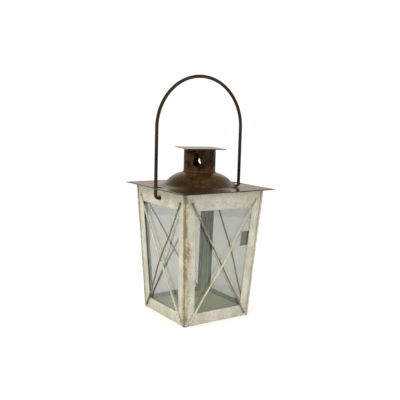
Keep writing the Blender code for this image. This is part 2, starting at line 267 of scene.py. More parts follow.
def makeChalkPaint(name, look):
    # chalk paint brushed on steel and sanded back: matt cream with soft strokes, brown where it is worn and
    # where shade is painted on
    material, tree = newMaterial(name)
    grain = addNode(tree, "Attribute", attribute_name="grain").outputs["Vector"]
    wearAndShade = addNode(tree, "Attribute", attribute_name="wearAndShade").outputs["Fac"]
    inside = addNode(tree, "Attribute", attribute_name="inside").outputs["Fac"]
    cloud = addNode(tree, "TexNoise", {"Vector": grain, "Scale": perMetre(look["patch"]), "Detail": 3.0})
    stroke = drawnOut(tree, grain, look["stroke"], look["strokeStretch"], 4.0)
    speck = addNode(tree, "TexNoise", {"Vector": grain, "Scale": perMetre(look["speck"]), "Detail": 6.0,
                                       "Roughness": 0.65})
    pores = addNode(tree, "TexNoise", {"Vector": grain, "Scale": perMetre(look["grimeSize"]), "Detail": 5.0,
                                       "Roughness": 0.7})
    toneMix = addNode(tree, "Math", {0: stroke, 1: 0.35, 2: cloud}, operation="MULTIPLY_ADD")
    tone = addNode(tree, "MapRange", {"Value": toneMix, "From Min": 0.52, "From Max": 0.80})
    brushed = addNode(tree, "Mix", {"Factor": tone, 6: look["shadowCream"], 7: look["cream"]},
                      data_type="RGBA")
    grimed = addNode(tree, "MapRange", {"Value": pores, "From Min": 0.50, "From Max": 0.68,
                                        "To Max": look["grimeShare"]})
    outside = addNode(tree, "Mix", {"Factor": grimed, 6: brushed, 7: look["grime"]}, data_type="RGBA")
    # painted light: the inside faces take a lighter, greener cream for the light through the panes
    cream = addNode(tree, "Mix", {"Factor": inside, 6: outside, 7: look["insideCreamPaneLight"]}, data_type="RGBA")
    # brown where the rub value, the specks and the clouds add up: wear on most pieces, painted shade under
    # the braces and along the top rails
    wearAndShadeSpeck = addNode(tree, "Math", {0: wearAndShade, 1: 0.55, 2: speck}, operation="MULTIPLY_ADD")
    wearAndShadeCloud = addNode(tree, "Math", {0: cloud, 1: 0.35, 2: wearAndShadeSpeck}, operation="MULTIPLY_ADD")
    level = look["threshold"] + 0.25
    worn = addNode(tree, "MapRange", {"Value": wearAndShadeCloud, "From Min": level, "From Max": level + 0.16},
                   interpolation_type="SMOOTHSTEP")
    deep = addNode(tree, "MapRange", {"Value": wearAndShadeCloud, "From Min": level + 0.14, "From Max": level + 0.34},
                   interpolation_type="SMOOTHSTEP")
    brown = addNode(tree, "Mix", {"Factor": deep, 6: look["wornAndShadeBrown"], 7: look["bareSteel"]},
                    data_type="RGBA")
    colour = addNode(tree, "Mix", {"Factor": worn, 6: cream, 7: brown}, data_type="RGBA")
    rough = addNode(tree, "MapRange", {"Value": stroke, "To Min": look["roughness"] - 0.06,
                                       "To Max": look["roughness"] + 0.12})
    height = addNode(tree, "Math", {0: worn, 1: -0.8, 2: pores}, operation="MULTIPLY_ADD")
    bump = addNode(tree, "Bump", {"Height": height, "Strength": 0.40, "Distance": 0.00025})
    addOutput(tree, addNode(tree, "BsdfPrincipled", {
        "Base Color": colour, "Roughness": rough, "Metallic": 0.0, "IOR": 1.47, "Normal": bump}))
    return material


bronzeLacquer = {
    "bronze": "#2d1f0b",
    "copper": "#523715",
    "patch": 22.0,       # mm, clouds left by hand wiping the stain
    "streak": 2.4,       # mm, width of a wipe mark
    "streakStretch": 9,
    "grit": 0.7,         # mm, orange peel; finer on the real lacquer
    "gritDepth": 0.10,
    "metallic": 0.25,    # low, because the stain hides most of the steel
    "specular": 0.1,
    "roughness": 0.30,
    "coat": 1.0,
    "coatRoughness": 0.06,
}


def makeBronzeLacquer(name, look):
    # brown-stained steel under clear lacquer: dark and glossy, coppery where the stain is thin
    material, tree = newMaterial(name)
    grain = addNode(tree, "Attribute", attribute_name="grain").outputs["Vector"]
    wearAndShade = addNode(tree, "Attribute", attribute_name="wearAndShade").outputs["Fac"]
    cloud = addNode(tree, "TexNoise", {"Vector": grain, "Scale": perMetre(look["patch"]), "Detail": 4.0})
    wipe = drawnOut(tree, grain, look["streak"], look["streakStretch"], 3.0)
    peel = addNode(tree, "TexNoise", {"Vector": grain, "Scale": perMetre(look["grit"]), "Detail": 2.0})
    blend = addNode(tree, "Math", {0: cloud, 1: wipe}, operation="MULTIPLY")
    worn = addNode(tree, "Math", {0: wearAndShade, 1: 0.5, 2: blend}, operation="MULTIPLY_ADD")
    share = addNode(tree, "MapRange", {"Value": worn, "From Min": 0.18, "From Max": 0.46})
    colour = addNode(tree, "Mix", {"Factor": share, 6: look["bronze"], 7: look["copper"]},
                     data_type="RGBA")
    rough = addNode(tree, "MapRange", {"Value": cloud, "To Min": look["roughness"] - 0.08,
                                       "To Max": look["roughness"] + 0.10})
    bump = addNode(tree, "Bump", {"Height": peel, "Strength": look["gritDepth"], "Distance": 0.0001})
    addOutput(tree, addNode(tree, "BsdfPrincipled", {
        "Base Color": colour, "Roughness": rough, "Metallic": look["metallic"],
        "Specular IOR Level": look["specular"], "Coat Weight": look["coat"],
        "Coat Roughness": look["coatRoughness"], "Coat IOR": 1.5, "Normal": bump}))
    return material


floatGlass = {"tint": "#c5c6c0", "tintPerFace": "#f6f7f5", "smear": 30.0, "roughness": 0.01}


def makeFloatGlass(name, look):
    # 2 mm float glass, not quite clean: a faint warm grey, with a soft smear that dulls the reflection
    material, tree = newMaterial(name)
    grain = addNode(tree, "Attribute", attribute_name="grain").outputs["Vector"]
    smear = addNode(tree, "TexNoise", {"Vector": grain, "Scale": perMetre(look["smear"]), "Detail": 5.0})
    rough = addNode(tree, "MapRange", {"Value": smear, "From Min": 0.35, "From Max": 0.75,
                                       "To Min": look["roughness"], "To Max": look["roughness"] + 0.05})
    shader = addNode(tree, "BsdfPrincipled", {
        "Base Color": look["tint"], "Roughness": rough, "IOR": 1.52, "Transmission Weight": 1.0})
    # lets the lamps light what stands behind the pane
    clear = addNode(tree, "BsdfTransparent", {"Color": look["tintPerFace"]})
    shadow = addNode(tree, "LightPath").outputs["Is Shadow Ray"]
    addOutput(tree, addNode(tree, "MixShader", {0: shadow, 1: shader, 2: clear}))
    return material


tinPlate = {"light": "#aeb196", "dark": "#8f9378", "grain": 5.0, "scratch": 0.8, "roughness": 0.5}


def makeTinPlate(name, look):
    # hot-dipped tin plate gone dull: olive grey with soft crystals and fine scratches
    material, tree = newMaterial(name)
    grain = addNode(tree, "Attribute", attribute_name="grain").outputs["Vector"]
    crystal = addNode(tree, "TexVoronoi", {"Vector": grain, "Scale": perMetre(look["grain"])})
    scratch = addNode(tree, "TexNoise", {"Vector": grain, "Scale": perMetre(look["scratch"]), "Detail": 4.0})
    tone = addNode(tree, "Math", {0: crystal.outputs["Color"], 1: scratch}, operation="MULTIPLY")
    colour = addNode(tree, "Mix", {"Factor": tone, 6: look["dark"], 7: look["light"]}, data_type="RGBA")
    rough = addNode(tree, "MapRange", {"Value": scratch, "To Min": look["roughness"] - 0.08,
                                       "To Max": look["roughness"] + 0.15})
    bump = addNode(tree, "Bump", {"Height": scratch, "Strength": 0.2, "Distance": 0.0001})
    addOutput(tree, addNode(tree, "BsdfPrincipled", {
        "Base Color": colour, "Roughness": rough, "Metallic": 0.3, "Normal": bump}))
    return material


creamPaint = makeChalkPaint("chalkPaintSanded", chalkPaint)
# the folds were sanded hardest: tan shows under the cream in large flecks
cornerPaint = makeChalkPaint("chalkPaintRubbedThrough", {
    **chalkPaint, "wornAndShadeBrown": "#a5987a", "bareSteel": "#786b4d", "threshold": 0.47, "speck": 2.4,
    "roughness": 0.56})
# a thinner coat on the wire, yellower, with painted shade along its lower side
bracePaint = makeChalkPaint("chalkPaintOnWire", {
    **chalkPaint, "cream": "#d3cdb3", "shadowCream": "#bfb798", "wornAndShadeBrown": "#857a58",
    "threshold": 0.46, "speck": 2.0})
# the tray's paint, never sanded, painted lighter and greener for the light that reaches it through the panes
trayPaint = makeChalkPaint("chalkPaintPaneLitGreen", {
    **chalkPaint, "cream": "#d2d9b9", "shadowCream": "#c1c8a4", "wornAndShadeBrown": "#8d8c70",
    "threshold": 0.70, "patch": 24.0})
paneGlass = makeFloatGlass("floatGlassDusty", floatGlass)
clipTin = makeTinPlate("tinPlateDull", tinPlate)
roofBronze = makeBronzeLacquer("bronzeLacquerGloss", bronzeLacquer)
# a thinner coat on the tube, more copper where the hand wiped it
chimneyBronze = makeBronzeLacquer("bronzeLacquerTube", {
    **bronzeLacquer, "bronze": "#23190f", "copper": "#5b3f27", "streak": 2.6, "patch": 9.0,
    "metallic": 0.15, "specular": 0.05, "coat": 0.25, "coatRoughness": 0.12})
# stained wire with hardly any lacquer: an even satin brown
wireBronze = makeBronzeLacquer("bronzeStainWireSatin", {
    **bronzeLacquer, "bronze": "#2a1f14", "copper": "#46321f", "streak": 9.0, "patch": 40.0,
    "gritDepth": 0.02, "metallic": 0.1, "specular": 0.05, "roughness": 0.5, "coat": 0.04,
    "coatRoughness": 0.3})
print("materials made:", len(bpy.data.materials))


# ---- body

panelLook = {
    "stileColumns": 6,
    "windowColumns": 26,
    "rowPitch": 0.0027,
    "setBack": 0.0022,    # ends hidden behind the corner angles
    "wave": 0.00011,      # how far the hand-cut sheet leaves flat
    "waveSize": 0.028,
    "edgeRound": 0.00022,
    "rubWidth": 0.0022,   # how far in from an edge the sanding reaches
    "holeRadius": 0.0030,
    "holeSides": 40,
}

frontSpots = sidePoints("panel_front", 0)
panelOuter, panelInner = min(p.y for p in frontSpots), max(p.y for p in frontSpots)
panelLength = max(p.z for p in frontSpots)
# the window's points are the ones well away from the sheet's own foot and top
windowSpots = [p for p in frontSpots if 0.002 < p.z < panelLength - 0.002]
windowLow, windowHigh = min(p.z for p in windowSpots), max(p.z for p in windowSpots)
stile = cornerAt(windowLow) - max(p.x for p in windowSpots if p.z < windowLow + hair)


def panelRows():
    rows = []
    for low, high in ((0, windowLow), (windowLow, windowHigh), (windowHigh, panelLength)):
        rows += spread(low, high, max(2, round((high - low) / panelLook["rowPitch"])))[:-1]
    return [*rows, panelLength]


def makePanel(index):
    side = sideNames[index]
    rows = panelRows()
    columns = panelLook["stileColumns"] * 2 + panelLook["windowColumns"]
    firstWindow = panelLook["stileColumns"]
    lastWindow = columns - firstWindow

    def acrossRow(up):
        outer, inner = cornerAt(up) - panelLook["setBack"], cornerAt(up) - stile
        left = spread(-outer, -inner, panelLook["stileColumns"])[:-1]
        window = spread(-inner, inner, panelLook["windowColumns"])[:-1]
        return [*left, *window, *(-u for u in reversed([*left, -inner]))]

    points, vertexAt = [], {}
    for layer, depth in enumerate((panelOuter, panelInner)):
        for r, up in enumerate(rows):
            for c, u in enumerate(acrossRow(up)):
                wave = panelLook["wave"] * smoothNoise((u, up, 0), panelLook["waveSize"], 3.1 * index + 1)
                vertexAt[layer, r, c] = len(points)
                points.append((u, depth + wave, up))

    def inWindow(r, c):
        return windowLow - hair < rows[r] < windowHigh - hair and firstWindow <= c < lastWindow

    faces = []
    used = {(r, c) for r in range(len(rows) - 1) for c in range(columns) if not inWindow(r, c)}
    for r, c in used:
        ring = ((r, c), (r, c + 1), (r + 1, c + 1), (r + 1, c))
        faces += [[vertexAt[layer, *spot] for spot in ring] for layer in (0, 1)]
        for edge, (down, over) in enumerate(((-1, 0), (0, 1), (1, 0), (0, -1))):
            if (r + down, c + over) not in used:
                near, far = ring[edge], ring[(edge + 1) % 4]
                faces.append([vertexAt[0, *near], vertexAt[0, *far], vertexAt[1, *far], vertexAt[1, *near]])
    wanted = sorted({i for face in faces for i in face})
    moved = {old: new for new, old in enumerate(wanted)}
    mesh = meshFrom(side, [points[i] for i in wanted], [[moved[i] for i in face] for face in faces])
    panel = placeObject(f"panelSheet_{side}", mesh, sideMatrix(index))
    if side in ("left", "right"):
        holeUp = (pivotHeight - panelOuter * math.sin(taper)) / math.cos(taper)
        outline = arc((0, holeUp), panelLook["holeRadius"], 0, math.tau, panelLook["holeSides"])[:-1]
        rings = [[(x, y, z) for x, z in outline] for y in (panelOuter - cutClear, panelInner + cutClear)]
        cutFrom(panel, [(ringMesh("hole", rings), sideMatrix(index))])
    roundEdges(panel, panelLook["edgeRound"])
    lowU, highU = cornerAt(windowLow) - stile, cornerAt(windowHigh) - stile

    def inside(co):
        return 1.0 if co.y > (panelOuter + panelInner) / 2 else 0.0

    def wearAndShade(co):
        # near the window's edges, the foot and the corner angles, plus the scuffs and painted eave shade
        # listed below
        windowU = lowU + (highU - lowU) * (co.z - windowLow) / (windowHigh - windowLow)
        fromWindow = max(abs(co.x) - windowU, windowLow - co.z, co.z - windowHigh, 0.0)
        fromAngle = cornerAt(co.z) - cornerLook["leg"] - abs(co.x)
        edge = fade(min(fromWindow, co.z, fromAngle + 0.0008), panelLook["rubWidth"])
        if inside(co):
            return 0.1 * edge
        cloud = max(0.0, smoothNoise(co, 0.02, index * 5.0))
        stileRub = fade(fromAngle - 0.0005, 0.004) * (0.35 + cloud)
        scuffAndEaveShade = 0.0
        for where, u, up, wide, tall, amount in scuffsAndEaveShade:
            if where == side:
                scuffAndEaveShade += amount * hump(co.x - u, wide) * hump(co.z - up, tall)
        return min(1.0, 0.22 * edge + 0.4 * stileRub + scuffAndEaveShade)

    finishPiece(panel, creamPaint, "root", [f"panel_{side}"], wearAndShade, seed=index + 1.0,
                inside=inside)


# extra sanding, and painted shade under the eave along the top rails: side, across, up, half width, half
# height, how much
scuffsAndEaveShade = (
    ("front", -0.0465, 0.055, 0.0055, 0.045, 0.26),
    ("front", -0.0500, 0.095, 0.0040, 0.012, 0.35),
    ("front", -0.0480, 0.158, 0.0070, 0.006, 0.30),
    # painted shade under the eave, along the front and left top rails
    ("front", 0.0, 0.163, 0.0700, 0.009, 0.10),
    ("left", -0.02, 0.163, 0.0500, 0.009, 0.14),
    ("left", 0.0460, 0.020, 0.0060, 0.020, 0.25),
    ("right", 0.0450, 0.070, 0.0050, 0.040, 0.30),
    ("back", -0.0470, 0.110, 0.0050, 0.030, 0.30),
)

cornerLook = {
    "wall": 0.0006,
    "leg": 0.0040,
    "fold": 0.0023,      # radius of the outer fold
    "foldSteps": 7,
    "rows": 70,
    "ragged": 0.00035,   # how uneven the legs' edges are
    "raggedSize": 0.006,
    "dent": 0.00010,
    "dentSize": 0.012,
    "patchSize": 0.009,  # patches where the sanding went deeper
    "lip": 0.0004,       # the flattened edge of a leg
    "edgeRound": 0.00012,
    "foldRub": 0.0016,   # how far round the fold the sanding reaches
    "sideLeg": 0.20,     # one leg of each angle was sanded harder than the other
    "worn": {"front_left": 1.0, "front_right": 0.2, "back_right": 0.3, "back_left": 0.2},
}


def makeCorner(index):
    names = ("front_right", "back_right", "back_left", "front_left")
    wall, fold, lip = cornerLook["wall"], cornerLook["fold"], cornerLook["lip"]
    worn = cornerLook["worn"][names[index]]

    def outerAt(height):
        return bottomHalf + (topHalf - bottomHalf) * height / bodyTop

    def section(height):
        outer = outerAt(height)
        spot, legs = (0, 0, height), []
        for seed in (index * 4.0 + 1.3, index * 4.0 + 9.1):
            ragged = cornerLook["ragged"] * smoothNoise(spot, cornerLook["raggedSize"], seed)
            legs.append(outer - cornerLook["leg"] + ragged)
        dent = cornerLook["dent"] * (smoothNoise(spot, cornerLook["dentSize"], index * 3.0 + 5.0) - 1)
        centre = (outer - fold, fold - outer)
        outside = arc(centre, fold + dent, -math.pi / 2, 0, cornerLook["foldSteps"])
        inside = arc(centre, fold - wall, 0, -math.pi / 2, cornerLook["foldSteps"])
        flat = [(legs[0], -outer), (legs[0] + lip, -outer - dent)]
        back = [(outer + dent, -legs[1] - lip), (outer, -legs[1]), (outer - wall, -legs[1])]
        ring = flat + outside + back + inside + [(legs[0], wall - outer)]
        return [(x, y, height) for x, y in ring]

    heights = spread(0, bodyTop, cornerLook["rows"])
    mesh = ringMesh("corner", [section(h) for h in heights])
    corner = placeObject(f"cornerAngle_{names[index]}", mesh, turned(index))
    roundEdges(corner, cornerLook["edgeRound"], angle=60)

    def wearAndShade(co):
        outer = outerAt(co.z)
        fromFold = max(outer - co.x, co.y + outer, 0.0)
        patches = max(0.0, smoothNoise(co, cornerLook["patchSize"], index + 0.5) + 0.1)
        sideLeg = cornerLook["sideLeg"] if co.y < 0.0008 - outer else 0.0
        folded = hump(fromFold, cornerLook["foldRub"])
        return worn * (0.15 + 0.60 * folded + 0.7 * patches + sideLeg)

    finishPiece(corner, cornerPaint, "root", [f"corner_{names[index]}"], wearAndShade,
                seed=index + 6.0)


def tubeMesh(name, path, profile, sides):
    # a round bar along the path; profile(distance, length) gives its half width and half height there
    spots = [Vector(p) for p in path]
    steps = [0.0]
    for a, b in zip(spots, spots[1:]):
        steps.append(steps[-1] + (b - a).length)
    rings = []
    up = Vector((0, -1, 0))
    for i, spot in enumerate(spots):
        ahead = (spots[min(i + 1, len(spots) - 1)] - spots[max(i - 1, 0)]).normalized()
        up = (up - ahead * up.dot(ahead)).normalized()
        across = ahead.cross(up)
        width, height = profile(steps[i], steps[-1])
        rings.append([
            spot + across * (width * math.cos(a)) + up * (height * math.sin(a))
            for a in spread(0, math.tau, sides)[:-1]
        ])
    return ringMesh(name, rings)


def endRounding(distance, length, radius):
    # 0 at the very ends and 1 a radius in, as on a filed wire
    gap = min(distance, length - distance)
    return 1.0 if gap >= radius else math.sqrt(max(0.02, 1 - (1 - gap / radius) ** 2))


braceLook = {
    "radius": 0.00108,
    "sides": 14,
    "pitch": 0.0016,
    "solderWidth": 0.0019,
    "solderHeight": 0.00135,
    "solderReach": 0.0030,
    "unevenness": 0.00005,
    "sway": 0.00018,        # how far the wire wanders to the side
    "filed": 0.0011,        # how far from the ends the file reached
    "endSteps": (0, 0.0012, 0.003, 0.005),   # closer steps over the rounded ends, as shares of the length
    # which wire of each pair, side by side, gets painted shade all along
    "shadedWire": {"front": "a", "right": "b", "back": "a", "left": "b"},
}


def braceCentre(name, index):
    # the middle line of a CAD brace, from its rings of vertices
    spots = sidePoints(name, index)
    centres = []
    for tip in (min(spots, key=lambda p: p.z), max(spots, key=lambda p: p.z)):
        end = [p for p in spots if (p - tip).length < 2.4 * braceLook["radius"]]
        centres.append(sum(end, Vector()) / len(end))
    return centres


def makeBrace(index, kind):
    side = sideNames[index]
    node = f"brace_{side}_{kind}"
    start, end = braceCentre(node, index)
    points = sidePoints(node, index)
    rise = start.y - (min(p.y for p in points) + braceLook["radius"])
    length = (end - start).length
    crossing = abs(start.x) / abs(end.x - start.x)
    count = round(length / braceLook["pitch"])
    seed = index * 7.0 + (3.0 if kind == "b" else 0.0)
    endSteps = braceLook["endSteps"]
    path = []
    for share in [*endSteps, *spread(0.008, 0.992, count), *(1 - step for step in reversed(endSteps))]:
        spot = start.lerp(end, share)
        bow = max(0.0, 1 - abs(share - crossing) * length / braceBow)
        spot.y -= rise * (1 - math.cos(math.pi * bow)) / 2
        spot.x += braceLook["sway"] * math.sin(math.pi * share) * smoothNoise((share, 0, 0), 0.22, seed)
        path.append(spot)

    def profile(distance, whole):
        gap = min(distance, whole - distance)
        solder = math.exp(-((gap / braceLook["solderReach"]) ** 4))
        uneven = braceLook["unevenness"] * smoothNoise((distance, 0, 0), 0.004, seed)
        radius = braceLook["radius"] + uneven
        filed = endRounding(distance, whole, braceLook["filed"])
        return [
            filed * (radius + (braceLook[swollen] - radius) * solder * 0.8)
            for swollen in ("solderWidth", "solderHeight")
        ]

    mesh = tubeMesh(node, path, profile, braceLook["sides"])
    brace = placeObject(f"braceWire_{side}_{kind}", mesh, sideMatrix(index))

    def wearAndShade(co):
        # worn at the ends; painted shade underneath, and painted shade all along one wire of each pair
        fromEnd = min((co - start).length, (co - end).length)
        ends = fade(fromEnd, 0.004)
        nearest = start.lerp(end, (co - start).dot(end - start) / length**2)
        paintedUnderShade = min(1.0, max(0.0, nearest.z - co.z) / braceLook["radius"])
        shadedWire = 0.32 if kind == braceLook["shadedWire"][side] else 0.0
        return min(1.0, 0.15 * ends + 0.50 * paintedUnderShade + shadedWire)

    finishPiece(brace, bracePaint, "root", [node], wearAndShade, seed=seed + 0.5)


def braceBowOf():
    # how far from the crossing a brace starts to bow out, read off the front one
    spots = sidePoints("brace_front_b", 0)
    flat = max(p.y for p in spots)
    lift = [p for p in spots if p.y < flat - 2.2 * braceLook["radius"] - 0.0001]
    start, end = braceCentre("brace_front_b", 0)
    along = (end - start).normalized()
    middle = start.lerp(end, abs(start.x) / abs(end.x - start.x))
    return max(abs((p - middle).dot(along)) for p in lift) * 1.12


braceBow = braceBowOf()

glassLook = {"edgeRound": 0.0003}


def makePane(index):
    side = sideNames[index]
    spots = sidePoints(f"glass_{side}", index)
    low, high = min(p.z for p in spots), max(p.z for p in spots)
    near, far = min(p.y for p in spots), max(p.y for p in spots)
    lowHalf = max(p.x for p in spots if p.z < low + hair)
    highHalf = max(p.x for p in spots if p.z > high - hair)
    rings = [
        [(-lowHalf, depth, low), (lowHalf, depth, low), (highHalf, depth, high), (-highHalf, depth, high)]
        for depth in (near, far)
    ]
    pane = placeObject(f"pane_{side}", ringMesh("pane", rings), sideMatrix(index))
    roundEdges(pane, glassLook["edgeRound"])
    finishPiece(pane, paneGlass, "root", [f"glass_{side}"], seed=index + 20.0, sharp=20)


clipLook = {
    "wall": 0.0006,
    "bend": 0.0009,
    "bendSteps": 5,
    "rows": 8,
    "lastStep": 0.0016,   # from the tongue's end back to the first point behind it
    "cornerRound": 0.00018,
}


def makeClip(index, hand):
    side = sideNames[index]
    node = f"clip_{side}_{hand}"
    spots = sidePoints(node, index)
    sign = 1 if hand == "right" else -1
    low, high = min(p.z for p in spots), max(p.z for p in spots)
    atLow = [p for p in spots if p.z < low + hair]
    lean = math.tan(taper)
    foot, tip = max(sign * p.x for p in atLow), min(sign * p.x for p in atLow)
    near, far = min(p.y for p in atLow), max(p.y for p in atLow)
    step = min(sign * p.x for p in atLow if p.y < near + hair)
    wall, bend, bendSteps = clipLook["wall"], clipLook["bend"], clipLook["bendSteps"]
    # the middle line of the strip: foot, step, tongue, with rounded bends
    stepMiddle, nearMiddle, farMiddle = step + wall / 2, near + wall / 2, far - wall / 2
    line = [(foot, nearMiddle), (stepMiddle + bend, nearMiddle)]
    line += arc((stepMiddle + bend, nearMiddle + bend), bend, -math.pi / 2, -math.pi, bendSteps)[1:]
    line += arc((stepMiddle - bend, farMiddle - bend), bend, 0, math.pi / 2, bendSteps)
    line += [(tip + clipLook["lastStep"], farMiddle), (tip, farMiddle)]

    def section(up):
        left, right = [], []
        for i, (u, depth) in enumerate(line):
            before, after = line[max(i - 1, 0)], line[min(i + 1, len(line) - 1)]
            along = Vector((after[0] - before[0], after[1] - before[1])).normalized() * wall / 2
            shifted = u + lean * (up - low)
            left.append((sign * (shifted - along.y), depth + along.x, up))
            right.append((sign * (shifted + along.y), depth - along.x, up))
        return left + right[::-1]

    mesh = ringMesh("clip", [section(up) for up in spread(low, high, clipLook["rows"])])
    clip = placeObject(f"glassClip_{side}_{hand}", mesh, sideMatrix(index))
    roundEdges(clip, clipLook["cornerRound"], angle=60)
    finishPiece(clip, clipTin, "root", [node], seed=index * 2 + sign + 30.0)


def roundedSquare(half, radius, height, perCorner=8, perEdge=12):
    ring = []
    for quarter in range(4):
        turn = quarter * math.pi / 2
        bend = arc((half - radius, half - radius), radius, 0, math.pi / 2, perCorner)
        edge = spread(half - radius, radius - half, perEdge)[1:-1]
        for x, y in [*bend, *((e, half) for e in edge)]:
            ring.append((x * math.cos(turn) - y * math.sin(turn),
                         x * math.sin(turn) + y * math.cos(turn), height))
    return ring


trayLook = {"wall": 0.0008, "cornerRadius": 0.0016, "fold": 0.0012, "sag": 0.00012}


def makeTray():
    points = nodePoints("floor_tray")
    flangeTop = max(p.z for p in points)
    lowHalf = max(p.x for p in points if p.z < hair)
    highHalf = max(p.x for p in points if p.z > flangeTop - hair)
    wall, fold, corner = trayLook["wall"], trayLook["fold"], trayLook["cornerRadius"]
    rim, middle, inner = flangeTop - wall / 2, highHalf - wall / 2, lowHalf - wall
    # half width and height, from the middle of the underside out, up and over the flange
    profile = [(max(0.002, lowHalf * share), 0) for share in (0.0, 0.25, 0.5, 0.75)]
    profile += arc((lowHalf - fold, fold), fold, -math.pi / 2, 0, 5)
    profile.append((highHalf, rim))
    profile += arc((middle, rim), wall / 2, 0, math.pi, 6)[1:]
    profile += arc((inner - fold, wall + fold), fold, 0, -math.pi / 2, 5)
    rings = [roundedSquare(half, corner, height) for half, height in profile]
    for share in (0.9, 0.8, 0.65, 0.5, 0.35, 0.2, 0.05):
        ring = roundedSquare(max(0.002, inner * share), corner * share + 0.0002, wall)
        rings.append([(x, y, z + trayLook["sag"] * smoothNoise((x, y, 0), 0.03, 2.0)) for x, y, z in ring])
    tray = placeObject("floorTray", ringMesh("tray", rings))

    def wearAndShade(co):
        return 0.5 * fade(abs(flangeTop - co.z), 0.0015)

    finishPiece(tray, trayPaint, "root", ["floor_tray"], wearAndShade, seed=40.0)


for index in range(4):
    makePanel(index)
    makeCorner(index)
    makePane(index)
    for kind in ("a", "b"):
        makeBrace(index, kind)
    for hand in ("left", "right"):
        makeClip(index, hand)
makeTray()
print("body made")


# ---- roof

roofLook = {
    "sides": 96,
    "wall": 0.0012,
    "hem": 0.0006,          # half the sheet's thickness, rounded at the eave
    "domeSteps": 56,
    "plateSteps": 8,
    "ridge": 0.00018,       # the small raised ring that the press leaves round the dome
    "ridgeWidth": 0.0014,
    "wave": 0.00022,
    "waveSize": 0.045,
    "slotRound": 0.0025,    # the slots' corners
    "edgeRound": 0.00018,
    "shoulder": 0.032,      # where hands rub the dome
    "shoulderWidth": 0.009,
}


roofLow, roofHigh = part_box("roof_plate")
roofHalf = roofHigh.x
roofUnder = roofLow.z
plateTop = roofUnder + roofLook["wall"]
chimneyLow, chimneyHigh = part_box("chimney")
tubeRadius = chimneyHigh.x
slotSearch = 0.0095   # no slot reaches further from the roof's middle line
slotClear = 0.002


def domeCurve():
    # the CAD's outline from the chimney hole to the dome's foot, spaced evenly, its corners smoothed
    outline = {}
    for p in nodePoints("roof_plate"):
        if abs(p.y) < hair and p.x > 0:
            radius = round(p.x, 6)
            outline[radius] = max(outline.get(radius, 0), p.z)
    spots = sorted(spot for spot in outline.items() if spot[1] > plateTop - hair)
    foot = min(radius for radius, height in spots if height < plateTop + hair)
    domed = [Vector(spot) for spot in spots if spot[0] < foot + hair]
    reached = [0.0]
    for a, b in zip(domed, domed[1:]):
        reached.append(reached[-1] + (b - a).length)
    curve = []
    for distance in spread(0, reached[-1], roofLook["domeSteps"]):
        k = min(max(bisect.bisect_right(reached, distance) - 1, 0), len(domed) - 2)
        curve.append(domed[k].lerp(domed[k + 1], (distance - reached[k]) / (reached[k + 1] - reached[k])))
    for _ in range(10):
        inner = [(a + b * 2 + c) / 4 for a, b, c in zip(curve, curve[1:], curve[2:])]
        curve = [curve[0], *inner, curve[-1]]
    return foot, curve


def circleRing(radius, height, sides):
    return [(x, y, height) for x, y in arc((0, 0), radius, 0, math.tau, sides)[:-1]]


def squareReach(x, y, half):
    return half / max(abs(x), abs(y))


def handleSlots(foot):
    # cutters for the two slots, sized and placed by the CAD's
    spots = [p for p in nodePoints("roof_plate")
             if foot + 0.0001 < p.x < roofHalf - 0.001 and abs(p.y) < slotSearch]
    outer, inner = max(p.x for p in spots), min(p.x for p in spots)
    halfWidth, halfLength = (outer - inner) / 2, max(abs(p.y) for p in spots)
    corner = roofLook["slotRound"]
    outline = []
    for quarter, (x, y) in enumerate(((1, 1), (-1, 1), (-1, -1), (1, -1))):
        start = quarter * math.pi / 2
        centre = (x * (halfWidth - corner), y * (halfLength - corner))
        outline += arc(centre, corner, start, start + math.pi / 2, 7)
    ends = [[(x, y, z) for x, y in outline] for z in (roofUnder - slotClear, plateTop + slotClear)]
    return [
        (ringMesh("slot", ends), Matrix.Translation((sign * (outer + inner) / 2, 0, 0)))
        for sign in (1, -1)
    ]


